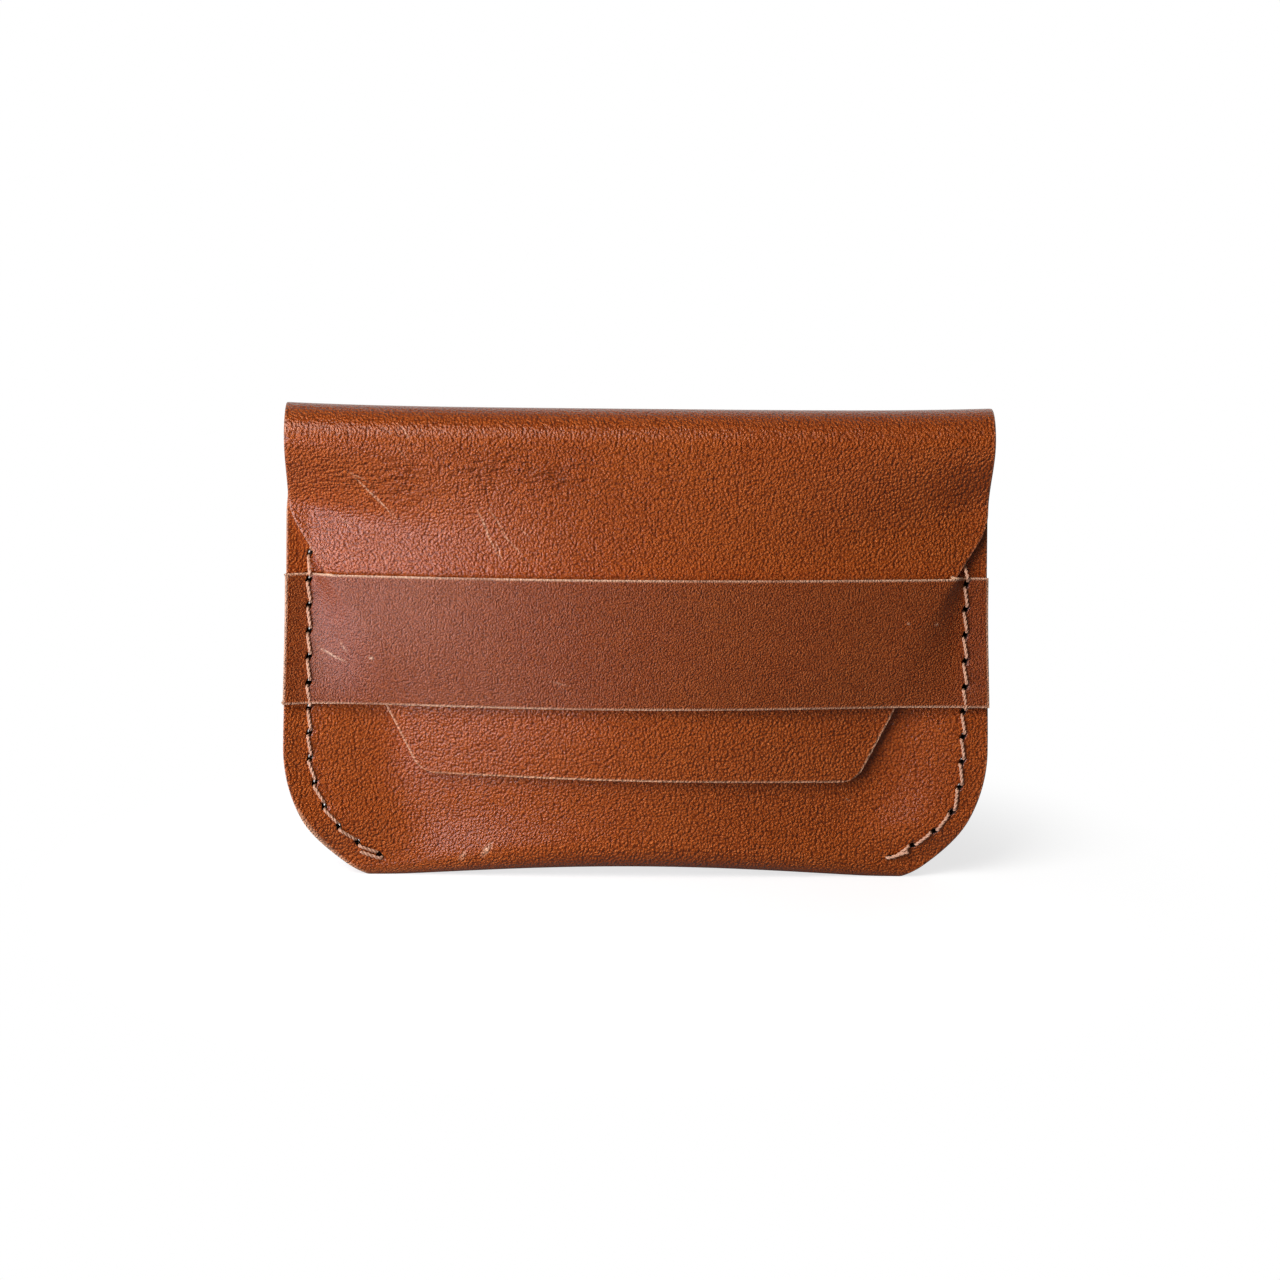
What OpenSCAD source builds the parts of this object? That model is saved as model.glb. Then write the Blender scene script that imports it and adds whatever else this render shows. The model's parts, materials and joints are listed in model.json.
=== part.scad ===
// Flap card holder folded from one strip of leather.
// The strip rises from the mouth of the pouch down the front, round the bottom fold, up the back,
// over a rolled top edge and down again as a tapered flap, whose tongue is tucked under a band.
// X runs along the folds, Y from the front (-) to the back (+), Z is up. Sizes are millimetres.
// Each sheet is worked out upright, with the side seams at y = 0, and then leaned back by stand().

/* [Leather] */
// Thickness of the hide
hide = 1.5; // [1.2:0.1:1.8]
// Cement line left between two sewn layers
cement = 0.2; // [0.1:0.05:0.3]
// Free play between the flap and the layers it slides on
play = 0.3; // [0.2:0.05:0.5]

/* [Pouch] */
// Width across the side edges, just above the rounded corners
pouch_w = 109; // [100:1:120]
// How far each side edge comes in on its way up to the roll
side_draw = 0.8; // [0:0.1:1.5]
// Height of the rolled top edge
crest_h = 74; // [70:0.5:80]
// Height of the mouth, the top edge of the front panel
mouth_h = 63; // [61:0.5:64]
// Distance from each side edge in to the end of the bottom fold
fold_inset = 13; // [10:0.5:15]
// Radius of the rounded lower corners
corner_r = 23; // [18:0.5:25]
// Backward lean at which the empty pouch balances on its fold
lean = 4; // [0:0.5:6]
// Depth of the worn flat on each end of the fold
foot_flat = 0.35; // [0.2:0.05:0.5]

/* [Bulge] */
// How far the front panel stands out from the seams
front_crown = 4.4; // [2:0.2:5]
// How far the back panel stands out from the seams
back_crown = 2.8; // [0.6:0.2:3.2]
// Height above which the back panel straightens towards the roll
back_straight_h = 40; // [30:1:48]
// How far the front of the bottom fold stands out
fold_front = 4.4; // [3:0.2:6]
// How far the back of the bottom fold stands out
fold_back = 2.8; // [1:0.2:3.6]
// Half the gap left inside each end of the bottom fold
fold_end_gap = 0.6; // [0.4:0.1:0.8]
// Height over which the fold runs out into the panels
fold_blend = 8; // [6:1:12]

/* [Flap] */
// Mid-thickness radius of the rolled top edge
roll_r = 4.5; // [4.2:0.1:5]
// Height of the shoulder where the flap starts to taper
shoulder_h = 58.5; // [56:0.5:62]
// Radius of the rounded shoulder
shoulder_r = 22; // [12:1:30]
// Width of the tongue at its end
tongue_w = 67; // [56:1:68]
// Height of the end of the tongue
tongue_h = 16.5; // [14:0.5:20]
// Radius of the corners of the tongue
tongue_r = 4.3; // [2:0.1:8]

/* [Band] */
// Height of the lower edge of the band
band_h = 27.9; // [26:0.1:30]
// Width of the band
band_w = 20; // [16:0.5:22]
// Distance from the stitches to where the band starts to rise over the flap
crease_inset = 0.5; // [0.5:0.1:1]
// Distance in which the band climbs onto the flap
crease_w = 1.1; // [1:0.1:1.5]

/* [Stitching] */
// Distance from the edge of the pouch to the stitches
stitch_inset = 3.9; // [3:0.1:4.5]
// Distance between two stitch holes
stitch_pitch = 3.95; // [3:0.05:5]
// Distance from the mouth down to the topmost stitch hole
seam_gap = 4.25; // [3:0.25:6]
// Least height of the lowest stitch hole
seam_end = 3.3; // [3.2:0.1:8]
// Thickness of the thread
thread_d = 0.55; // [0.4:0.05:0.7]
// Length of a stitch hole
slit_l = 1.3; // [1.2:0.1:1.8]
// Width of a stitch hole
slit_w = 0.7; // [0.65:0.05:0.8]
// Slant of the stitch holes from the seam
slit_slant = 40; // [0:5:60]

/* [Hidden] */

LEATHER = "#8c4520";
LEATHER_SHADE = "#7a3a1a";
THREAD = "#d8b595";

half_pouch = pouch_w / 2;
half_top = half_pouch - side_draw;
band_top = band_h + band_w;
fold_w = pouch_w - 2 * fold_inset;
// Centres of the rounded lower corners, set so that the arcs end at the ends of the fold
corner_x = half_pouch - corner_r;
corner_z = sqrt(pow(corner_r, 2) - pow(fold_w / 2 - corner_x, 2));
// Height of the rounded end of the fold
foot_h = fold_end_gap + hide;
// The roll, tangent to the back panel where that panel is straight
roll_out = roll_r + hide / 2;
roll_in = roll_r - hide / 2;
roll_y = cement / 2 + hide / 2 - roll_r;
roll_z = crest_h - roll_out;
// The roll bends along three lines, spread evenly round it
bend_angles = [30, 90, 150];
// Where the part of the flap that slides under the band begins
tuck_top = band_top + 1;
// Path of the stitches: down the side, then round the corner
seam_top = mouth_h - seam_gap;
sew_x = half_pouch - stitch_inset;
sew_r = corner_r - stitch_inset;
sew_straight = seam_top - corner_z;
sew_arc = asin((corner_z - seam_end) / sew_r) * PI / 180 * sew_r;
holes = floor((sew_straight + sew_arc) / stitch_pitch) + 1;
thread_r = thread_d / 2;
// Air between a stitch and the leather under it
stitch_lift = 0.06;
// Offset of the two runs of thread that share a hole
pass_offset = thread_r + 0.03;

// Steps of the lofted sheets
corner_steps = 7;
wall_steps = 7;
fold_steps = 8;
bend_steps = 3;
cross_steps = 24;
// Places across a sheet, closer together near its edges
cols = [for (i = [-cross_steps / 2 : cross_steps / 2])
        let (u = 2 * i / cross_steps) (u + sin(90 * u)) / 2];

function mix(a, b, t) = a + (b - a) * t;
function ease(t) = let (u = max(0, min(1, t))) u * u * (3 - 2 * u);
function dome(u) = pow(1 - min(1, u * u), 1.5);
function steps(a, b, n) = [for (i = [0 : n]) mix(a, b, i / n)];
function tail(list) = [for (i = [1 : len(list) - 1]) list[i]];
function turned(list) = [for (i = [len(list) - 1 : -1 : 0]) list[i]];

// Half widths of the pouch and of its stitch line at a height
function arc_x(r, z) = corner_x + sqrt(max(0, r * r - pow(corner_z - z, 2)));
function half_w(z) = z >= corner_z ? mix(half_pouch, half_top, (z - corner_z) / (roll_z - corner_z)) :
    arc_x(corner_r, z);
function sew_w(z) = z >= corner_z ? sew_x : arc_x(sew_r, z);

// The bottom fold: how far each side stands out, its middle, its half gap and where it ends
function fold_out(x, crown) = mix(fold_end_gap, crown, dome(2 * x / fold_w));
function fold_gap(x) = (fold_out(x, fold_front) + fold_out(x, fold_back)) / 2;
function fold_y(x) = (fold_out(x, fold_back) - fold_out(x, fold_front)) / 2;
// A wider fold takes up more of the hide, so the fold rises where it is wide
function fold_top(x) = (PI / 2 - 1) * (fold_gap(x) - fold_end_gap) + fold_gap(x) + hide;

// Distance of a panel's inner face from the seam plane
function panel_out(x, z, crown) = cement / 2 + crown * dome(x / max(1, sew_w(z)));
function run_out(x, z, at_fold, at_panel) = mix(at_fold, at_panel, ease((z - fold_top(x)) / fold_blend));
function front_out(x, z) = run_out(x, z, fold_out(x, fold_front), panel_out(x, z, front_crown));
function back_fade(z) = 1 - ease((z - back_straight_h) / (roll_z - back_straight_h));
function back_out(x, z) = run_out(x, z, fold_out(x, fold_back), panel_out(x, z, back_crown * back_fade(z)));

// Outer faces of the flap and of the band
function flap_tuck(x, z) = front_out(x, z) + 2 * hide + play;
function flap_out(x, z) = mix(flap_tuck(x, z), roll_out - roll_y,
                              ease((z - band_top) / (roll_z - band_top)));
function band_rise(x) = ease((sew_x - crease_inset - abs(x)) / crease_w);
function band_out(x, z) = front_out(x, z) + 2 * hide + mix(cement, hide + 2 * play, band_rise(x));

// Half width of the flap at a height: straight, shoulder arc, straight taper, corner arc
taper = atan((half_top - tongue_w / 2) / (shoulder_h - tongue_h));
shoulder_t = shoulder_r * tan(taper / 2);
tongue_t = tongue_r * tan((90 - taper) / 2);
shoulder_start = shoulder_h + shoulder_t;
shoulder_stop = shoulder_h - shoulder_t * cos(taper);
tongue_start = tongue_h + tongue_t * cos(taper);
function flap_w(z) =
    z >= shoulder_start ? half_top :
    z >= shoulder_stop ? half_top - shoulder_r + sqrt(pow(shoulder_r, 2) - pow(shoulder_start - z, 2)) :
    z >= tongue_start ? tongue_w / 2 + (z - tongue_h) * tan(taper) :
    tongue_w / 2 - tongue_t + sqrt(max(0, pow(tongue_r, 2) - pow(tongue_h + tongue_r - z, 2)));

// Rows of points across the sheets; side is 0 on the flesh face and 1 on the grain face
function front_row(edge_z, side) =
    let (w = half_w(edge_z), s = (edge_z - foot_h) / (mouth_h - foot_h))
    [for (v = cols) let (x = v * w, z = mix(fold_top(x), mouth_h, s))
        [x, -front_out(x, z) - side * hide, z]];
function back_row(edge_z, side) =
    let (w = half_w(edge_z), s = (edge_z - foot_h) / (roll_z - foot_h))
    [for (v = cols) let (x = v * w, z = mix(fold_top(x), roll_z, s))
        [x, back_out(x, z) + side * hide, z]];
function fold_row(a, side) =
    let (w = half_w(foot_h * (1 - cos(a))))
    [for (v = cols) let (x = v * w, r = fold_gap(x) + side * hide)
        [x, fold_y(x) - r * sin(a), fold_top(x) - r * cos(a)]];
function roll_row(a, side) =
    let (r = roll_in + side * hide)
    [for (v = cols) [v * half_top, roll_y + r * cos(a), roll_z + r * sin(a)]];
function flap_row(z, side) =
    let (w = flap_w(z))
    [for (v = cols) [v * w, -flap_out(v * w, z) + (1 - side) * hide, z]];

// Heights of the rows along an edge
corner_start = asin((corner_z - foot_h) / corner_r);
corner_rows = [for (a = steps(0, corner_start, corner_steps)) corner_z - corner_r * sin(a)];
front_rows = concat(steps(mouth_h, corner_z, wall_steps), tail(corner_rows));
back_rows = turned(concat(steps(roll_z, corner_z, wall_steps), tail(corner_rows)));
fold_angles = [for (i = [1 : fold_steps - 1]) 90 - 180 * i / fold_steps];
shoulder_rows = [for (a = steps(0, taper, 4)) shoulder_start - shoulder_r * sin(a)];
flap_rows = concat(steps(roll_z, shoulder_start, 2), tail(shoulder_rows), [tuck_top]);
tongue_rows = concat(steps(tuck_top, tongue_start, 7),
                     tail([for (a = steps(taper, 90, 6)) tongue_h + tongue_r * (1 - sin(a))]));

function body_grid(side) = concat(
    [for (z = front_rows) front_row(z, side)],
    [for (a = fold_angles) fold_row(a, side)],
    [for (z = back_rows) back_row(z, side)],
    [for (a = tail(steps(0, bend_angles[0], bend_steps))) roll_row(a, side)]);
function flap_grid(side) = concat(
    [for (a = steps(bend_angles[2], 180, bend_steps)) roll_row(a, side)],
    [for (z = tail(flap_rows)) flap_row(z, side)]);
function tongue_grid(side) = [for (z = tongue_rows) flap_row(z, side)];

// Band: flat margins on the seams, a crease beside each seam, and the span over the flap
crease_out = sew_x - crease_inset;
crease_in = crease_out - crease_w;
function band_half(z) = concat(steps(half_w(z), crease_out, 2), tail(steps(crease_out, crease_in, 4)),
                               tail(steps(crease_in, 0, 9)));
function band_cols(z) = concat(-band_half(z), tail(turned(band_half(z))));
function band_grid(side) = [for (z = steps(band_top, band_h, 4))
    [for (x = band_cols(z)) [x, -band_out(x, z) + (1 - side) * hide, z]]];

// A sheet between two grids of points with the same rows and columns
module sheet(grain, flesh) {
    rows = len(grain);
    n = len(grain[0]);
    back = rows * n;
    function quad(a, b, c, d) = [[a, b, c], [a, c, d]];
    polyhedron(
        points = concat([for (r = grain) each r], [for (r = flesh) each r]),
        faces = concat(
            [for (i = [0 : rows - 2], j = [0 : n - 2]) let (p = i * n + j)
                each quad(p, p + 1, p + n + 1, p + n)],
            [for (i = [0 : rows - 2], j = [0 : n - 2]) let (p = back + i * n + j)
                each quad(p, p + n, p + n + 1, p + 1)],
            [for (j = [0 : n - 2]) each quad(j, j + back, j + 1 + back, j + 1)],
            [for (j = [0 : n - 2]) let (p = (rows - 1) * n + j)
                each quad(p, p + 1, p + 1 + back, p + back)],
            [for (i = [0 : rows - 2]) let (p = i * n)
                each quad(p, p + n, p + n + back, p + back)],
            [for (i = [0 : rows - 2]) let (p = i * n + n - 1)
                each quad(p, p + back, p + n + back, p + n)]),
        convexity = 8);
}

// Stitch holes: place, direction down the seam and direction of the slit, all in the front view
function on_arc(k) = max(0, k * stitch_pitch - sew_straight) / sew_r * 180 / PI;
function hole(k, hand) = let (a = on_arc(k), s = min(k * stitch_pitch, sew_straight)) a > 0 ?
    [hand * (corner_x + sew_r * cos(a)), corner_z - sew_r * sin(a)] : [hand * sew_x, seam_top - s];
function slit_angle(k, hand) = 90 - slit_slant - hand * on_arc(k);
function slit_dir(k, hand) = let (a = slit_angle(k, hand)) [cos(a), sin(a)];
function in_band(z) = z > band_h && z < band_top;
// Faces of the sewn layers at a hole
function sewn_front(p) = -front_out(p[0], p[1]) - hide - (in_band(p[1]) ? cement + hide : 0);
function sewn_back(p) = back_out(p[0], p[1]) + hide;

module slits(hand) {
    depth = 8 * hide;
    tip = slit_w / 3;
    for (k = [0 : holes - 1]) {
        p = hole(k, hand);
        translate([p[0], 0, p[1]]) rotate([90, 0, 0]) rotate(slit_angle(k, hand))
            linear_extrude(depth, center = true)
                polygon([[-slit_l / 2, 0], [tip - slit_l / 2, -slit_w / 2], [slit_l / 2 - tip, -slit_w / 2],
                         [slit_l / 2, 0], [slit_l / 2 - tip, slit_w / 2], [tip - slit_l / 2, slit_w / 2]]);
    }
}

// One stitch from hole k to the next on the front (face -1) or on the back (face 1):
// out of a hole, onto the leather, along it and into the next hole
bend_r = 1.4 * thread_r;
function pass_at(k, hand, end) = hole(k, hand) + end * pass_offset * slit_dir(k, hand);
function thread_y(p, face) = (face < 0 ? sewn_front(p) : sewn_back(p)) + face * (thread_r + stitch_lift);
// Where a stitch that joins the band to the panel comes over an edge of the band
function band_edge(a, b) = (max(a[1], b[1]) > band_top ? band_top : band_h);
function over_edge(a, b, clear) =
    let (edge = band_edge(a, b), z = edge + (edge == band_top ? clear : -clear))
    mix(a, b, (z - a[1]) / (b[1] - a[1]));
function stitch(k, hand, face) =
    let (a = pass_at(k, hand, face), b = pass_at(k + 1, hand, -face), u = (b - a) / norm(b - a),
         ha = hole(k, hand), hb = hole(k + 1, hand), ya = thread_y(ha, face), yb = thread_y(hb, face),
         crosses = face < 0 && in_band(ha[1]) != in_band(hb[1]), m = over_edge(a, b, thread_r),
         p = crosses && !in_band(ha[1]) ? m : a + bend_r * u,
         q = crosses && !in_band(hb[1]) ? m : b - bend_r * u,
         yp = crosses ? min(ya, yb) : ya, yq = crosses ? min(ya, yb) : yb)
    [[a[0], ya - face * bend_r, a[1]], [p[0], yp, p[1]], [q[0], yq, q[1]], [b[0], yb - face * bend_r, b[1]]];
// The two ends of one thread sew the seam together, each taking every second stitch of a face
function thread_run(hand, first) =
    [for (k = [0 : holes - 2]) each stitch(k, hand, (k + first) % 2 == 0 ? -1 : 1)];
// The end that comes out on the front goes back over the last stitch
function back_stitch(hand) =
    let (last = holes - 1, a = pass_at(last, hand, -1), b = pass_at(last - 1, hand, -1),
         u = (b - a) / norm(b - a), aside = 1.2 * thread_d * [hand * abs(u[1]), -abs(u[0])],
         y = thread_y(hole(last, hand), -1), yb = thread_y(hole(last - 1, hand), -1),
         p = a + bend_r * u + 0.3 * aside, q = b - 2 * bend_r * u + aside)
    [[a[0], y + bend_r, a[1]], [p[0], y, p[1]], [q[0], yb, q[1]]];
function thread_path(hand) =
    let (ends_back = (holes - 2) % 2)
    concat(turned(concat(thread_run(hand, ends_back ? 0 : 1), back_stitch(hand))),
           thread_run(hand, ends_back ? 1 : 0));

// A six-sided tube along a path
module tube(path, r) {
    sides = 6;
    n = len(path);
    function unit(v) = v / norm(v);
    function heading(i) = unit(unit(path[min(i + 1, n - 1)] - path[max(i, 0)] + [0, 1e-9, 0])
        + unit(path[i] - path[max(i - 1, 0)] + [0, 1e-9, 0]));
    function across(i) = let (before = path[max(i - 1, 0)], after = path[min(i + 1, n - 1)],
                              d = heading(i), run = after - before,
                              flat = [run[2], 0, -run[0]])
        unit(flat - d * (flat * d));
    function ring(i) = let (d = heading(i), u = across(i), w = cross(d, u))
        [for (j = [0 : sides - 1]) path[i] + r * (u * cos(360 * j / sides) + w * sin(360 * j / sides))];
    polyhedron(
        points = [for (i = [0 : n - 1]) each ring(i)],
        faces = concat(
            [[for (j = [0 : sides - 1]) j]],
            [for (i = [0 : n - 2], j = [0 : sides - 1])
                let (a = i * sides + j, b = i * sides + (j + 1) % sides)
                each [[a, a + sides, b + sides], [a, b + sides, b]]],
            [[for (j = [sides - 1 : -1 : 0]) (n - 1) * sides + j]]),
        convexity = 10);
}

// Lean the pouch back onto the worn ends of its fold, with the origin under the middle of its depth
front_reach = band_out(0, band_h) * cos(lean) - band_h * sin(lean);
back_reach = max([roll_y * cos(lean) + roll_z * sin(lean) + roll_out,
                  for (z = steps(band_h, roll_z, 40)) (back_out(0, z) + hide) * cos(lean) + z * sin(lean)]);
stand_y = (front_reach - back_reach) / 2;
module stand() {
    translate([0, stand_y, -foot_flat]) rotate([-lean, 0, 0]) children();
}

module body() {
    color(LEATHER) difference() {
        stand() difference() {
            sheet(body_grid(1), body_grid(0));
            slits(-1);
            slits(1);
        }
        translate([-pouch_w, -pouch_w, -pouch_w]) cube([2 * pouch_w, 2 * pouch_w, pouch_w]);
    }
}

module band() {
    color(LEATHER_SHADE) stand() difference() {
        sheet(band_grid(1), band_grid(0));
        slits(-1);
        slits(1);
    }
}

module left_seam_thread() {
    color(THREAD) stand() tube(thread_path(-1), thread_r);
}

module right_seam_thread() {
    color(THREAD) stand() tube(thread_path(1), thread_r);
}

// Part of the rolled edge between two angles, counted from the back
module roll_strip(from, to) {
    reach = 2 * roll_out;
    stand() translate([0, roll_y, roll_z]) rotate([90, 0, 90])
        linear_extrude(2 * half_top, center = true) intersection() {
            difference() {
                circle(roll_out, $fn = 96);
                circle(roll_in, $fn = 96);
            }
            polygon([[0, 0], reach * [cos(from), sin(from)], reach * [cos(to), sin(to)]]);
        }
}

module fold_strip_rear() {
    color(LEATHER) roll_strip(bend_angles[0], bend_angles[1]);
}

module fold_strip_front() {
    color(LEATHER) roll_strip(bend_angles[1], bend_angles[2]);
}

module flap() {
    color(LEATHER) stand() sheet(flap_grid(1), flap_grid(0));
}

module flap_tongue() {
    color(LEATHER) stand() sheet(tongue_grid(1), tongue_grid(0));
}

body();
band();
left_seam_thread();
right_seam_thread();
fold_strip_rear();
fold_strip_front();
flap();
flap_tongue();
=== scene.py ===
import json
import math

import bmesh
import bpy
from mathutils import Matrix, Vector, noise


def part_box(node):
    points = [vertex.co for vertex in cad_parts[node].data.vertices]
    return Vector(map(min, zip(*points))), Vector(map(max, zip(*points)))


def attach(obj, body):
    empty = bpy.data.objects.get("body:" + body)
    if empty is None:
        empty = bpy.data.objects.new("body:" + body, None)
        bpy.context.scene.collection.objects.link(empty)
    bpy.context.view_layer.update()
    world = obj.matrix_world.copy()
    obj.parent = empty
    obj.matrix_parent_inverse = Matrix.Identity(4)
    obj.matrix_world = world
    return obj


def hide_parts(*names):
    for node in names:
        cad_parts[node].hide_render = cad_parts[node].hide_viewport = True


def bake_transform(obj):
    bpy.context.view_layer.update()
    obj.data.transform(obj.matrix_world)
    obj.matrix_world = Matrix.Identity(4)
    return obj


# The card holder is folded from one strip of hide and stands on the two ends of its bottom fold,
# leaning back a little. Every sheet below is worked out upright, in millimetres, with the side
# seams at y = 0, and stand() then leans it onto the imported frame, which is in metres.
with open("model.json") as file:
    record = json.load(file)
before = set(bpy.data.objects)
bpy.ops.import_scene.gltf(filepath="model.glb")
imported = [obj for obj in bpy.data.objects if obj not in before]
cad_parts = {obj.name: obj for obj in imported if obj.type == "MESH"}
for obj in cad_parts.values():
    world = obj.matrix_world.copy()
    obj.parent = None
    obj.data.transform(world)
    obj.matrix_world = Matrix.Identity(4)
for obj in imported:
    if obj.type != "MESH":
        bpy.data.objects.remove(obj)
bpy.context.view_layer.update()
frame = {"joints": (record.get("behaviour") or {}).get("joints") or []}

MM = 0.001
lean = math.radians(4)
hide = 1.5
cement = 0.2
crest_h = 74
roll_r = 4.5
roll_out = roll_r + hide / 2
roll_y = (cement + hide) / 2 - roll_r
roll_z = crest_h - roll_out
pivots = {joint["name"]: Vector(joint["pos_m"]) for joint in frame["joints"]}
leaned = Matrix.Rotation(-lean, 3, "X")
standing = pivots["crest_bend"] - leaned @ Vector((0, roll_y, crest_h)) * MM


def stand(x, y, z):
    return leaned @ Vector((x, y, z)) * MM + standing


# The strip is cut flat from one hide: front panel, bottom fold, back panel, roll and flap in one run.
# A point on it is known by its distance across and its run down the strip from the mouth.
mouth_h = 63
fold_end_gap = 0.6
foot_h = fold_end_gap + hide
front_run = mouth_h - foot_h
fold_run = 12
back_run = roll_z - foot_h
fold_from = front_run
back_from = fold_from + fold_run
roll_from = back_from + back_run
flap_from = roll_from + math.pi * roll_r


def flap_run(z):
    return flap_from + roll_z - z


# Pull-up leather, waxed full-grain cowhide, is dyed through and hot-waxed. Its pebbled grain keeps a
# satin shine, breaks into loose wrinkles where it was bent, and keeps old scratches as pale lines.
def linear(code):
    parts = [int(code[i:i + 2], 16) / 255 for i in (1, 3, 5)]
    return [c / 12.92 if c <= 0.04045 else ((c + 0.055) / 1.055) ** 2.4 for c in parts] + [1]


def add(tree, kind, links=None, **settings):
    node = tree.nodes.new(kind)
    for name, value in settings.items():
        setattr(node, name, value)
    for socket, value in (links or {}).items():
        if isinstance(value, bpy.types.NodeSocket):
            tree.links.new(value, node.inputs[socket])
        else:
            node.inputs[socket].default_value = value
    return node


def new_material(name):
    material = bpy.data.materials.new(name)
    material.use_nodes = True
    tree = material.node_tree
    shader = tree.nodes["Principled BSDF"]
    return material, tree, shader


def waxed_hide(name, tones, pebble_mm, grain_mm, wax_roughness, seed, breaks, marks):
    """tones: the hide in its pores, there partly painted shade, as dyed, where the wax has pulled up, and
    pale, for scratches, wear and painted highlights.
    breaks: ovals of loose wrinkles, x, run and half axes. marks: x, run, length, width, turn, strength.
    The pattern map is in millimetres on the flat hide, so a scale is one over a size in millimetres."""
    stir_mm, cloud_mm, wrinkle_mm, patch_mm = 3.5, 20, 0.8, 11
    material, tree, shader = new_material(name)
    pattern = add(tree, "ShaderNodeUVMap", uv_map="pattern").outputs["UV"]
    place = add(tree, "ShaderNodeMapping", {"Vector": pattern, "Location": (seed, seed, 0)}).outputs["Vector"]
    stir = add(tree, "ShaderNodeTexNoise", {"Vector": place, "Scale": 1 / stir_mm, "Detail": 3})
    moved = add(tree, "ShaderNodeVectorMath", {0: stir.outputs["Color"], 1: (0.7, 0.7, 0), 2: place},
                operation="MULTIPLY_ADD").outputs["Vector"]

    # Pebbles are the raised cells of the grain, with finer ones and pores between them
    cells = add(tree, "ShaderNodeTexVoronoi", {"Vector": moved, "Scale": 1 / pebble_mm, "Smoothness": 0.25},
                voronoi_dimensions="2D", feature="SMOOTH_F1")
    pores = add(tree, "ShaderNodeTexNoise", {"Vector": moved, "Scale": 1.25 / pebble_mm, "Detail": 2,
                                             "Roughness": 0.6}, noise_dimensions="2D")
    height = add(tree, "ShaderNodeMath", {0: cells.outputs["Distance"], 1: -0.9, 2: pores.outputs["Fac"]},
                 operation="MULTIPLY_ADD").outputs["Value"]

    # Tone: darker in the pores and lighter on the pebbles, partly by dye and partly as painted shade and
    # highlight of the relief; lighter in clouds where the wax has moved
    clouds = add(tree, "ShaderNodeTexNoise", {"Vector": place, "Scale": 1 / cloud_mm, "Detail": 5,
                                              "Roughness": 0.6})
    cloud = add(tree, "ShaderNodeMapRange", {"Value": clouds.outputs["Fac"], "From Min": 0.34,
                                             "From Max": 0.68})
    worn = add(tree, "ShaderNodeMix", {"Factor": cloud.outputs["Result"], "A": linear(tones[1]),
                                       "B": linear(tones[2])}, data_type="RGBA")
    depth = add(tree, "ShaderNodeMapRange", {"Value": height, "From Min": -0.35, "From Max": 0.5})
    tone = add(tree, "ShaderNodeMix", {"Factor": depth.outputs["Result"], "A": linear(tones[0]),
                                       "B": worn.outputs["Result"]}, data_type="RGBA").outputs["Result"]

    # Wrinkles lie along the bend, three times as long as they are wide. Their rise is against the grain's
    wrinkle_rise = 9.0
    drawn = add(tree, "ShaderNodeMapping", {"Vector": moved, "Scale": (0.3, 1, 1)}).outputs["Vector"]
    folds = add(tree, "ShaderNodeTexNoise", {"Vector": drawn, "Scale": 1 / wrinkle_mm, "Detail": 2})
    folds = add(tree, "ShaderNodeMapRange", {"Value": folds.outputs["Fac"], "To Min": -0.5, "To Max": 0.5})
    patch = add(tree, "ShaderNodeTexNoise", {"Vector": place, "Scale": 1 / patch_mm, "Detail": 2})
    patchy = add(tree, "ShaderNodeMapRange", {"Value": patch.outputs["Fac"], "From Min": 0.3,
                                              "From Max": 0.55}).outputs["Result"]
    for x, along, wide, high in breaks:
        own = add(tree, "ShaderNodeMapping", {"Vector": pattern, "Location": (x, along, 0),
                                              "Scale": (wide, high, 1)}, vector_type="TEXTURE")
        near = add(tree, "ShaderNodeTexGradient", {"Vector": own.outputs["Vector"]},
                   gradient_type="SPHERICAL")
        loose = add(tree, "ShaderNodeMath", {0: near.outputs["Fac"], 1: patchy}, operation="MULTIPLY")
        fold = add(tree, "ShaderNodeMath", {0: folds.outputs["Result"], 1: loose.outputs["Value"]},
                   operation="MULTIPLY")
        height = add(tree, "ShaderNodeMath", {0: fold.outputs["Value"], 1: wrinkle_rise, 2: height},
                     operation="MULTIPLY_ADD").outputs["Value"]

    # Scratches are thin pale ellipses on the flat hide, slightly wavering, that fade out to their sides. A
    # few wider ones are painted highlights on creases
    waver_mm = 0.5
    fade_share = 0.9
    waver = add(tree, "ShaderNodeVectorMath", {0: stir.outputs["Color"], 1: (waver_mm, waver_mm, 0),
                                               2: pattern}, operation="MULTIPLY_ADD").outputs["Vector"]
    scratches_and_crease_highlights = 0.0
    for x, along, length, width, turn, strength in marks:
        middle = (x + waver_mm / 2, along + waver_mm / 2, 0)
        own = add(tree, "ShaderNodeMapping", {"Vector": waver, "Location": middle,
                                              "Rotation": (0, 0, math.radians(turn)),
                                              "Scale": (length / 2, fade_share * width, 1)},
                  vector_type="TEXTURE")
        line = add(tree, "ShaderNodeTexGradient", {"Vector": own.outputs["Vector"]},
                   gradient_type="SPHERICAL")
        scratches_and_crease_highlights = add(tree, "ShaderNodeMath", {0: line.outputs["Fac"], 1: strength, 2: scratches_and_crease_highlights},
                        operation="MULTIPLY_ADD").outputs["Value"]
    broken = add(tree, "ShaderNodeMapRange", {"Value": pores.outputs["Fac"], "From Min": 0.32,
                                              "From Max": 0.54})
    dotted = add(tree, "ShaderNodeMath", {0: scratches_and_crease_highlights, 1: broken.outputs["Result"]}, operation="MULTIPLY")
    tone = add(tree, "ShaderNodeMix", {"Factor": dotted.outputs["Value"], "A": tone, "B": linear(tones[3])},
               data_type="RGBA").outputs["Result"]
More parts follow.
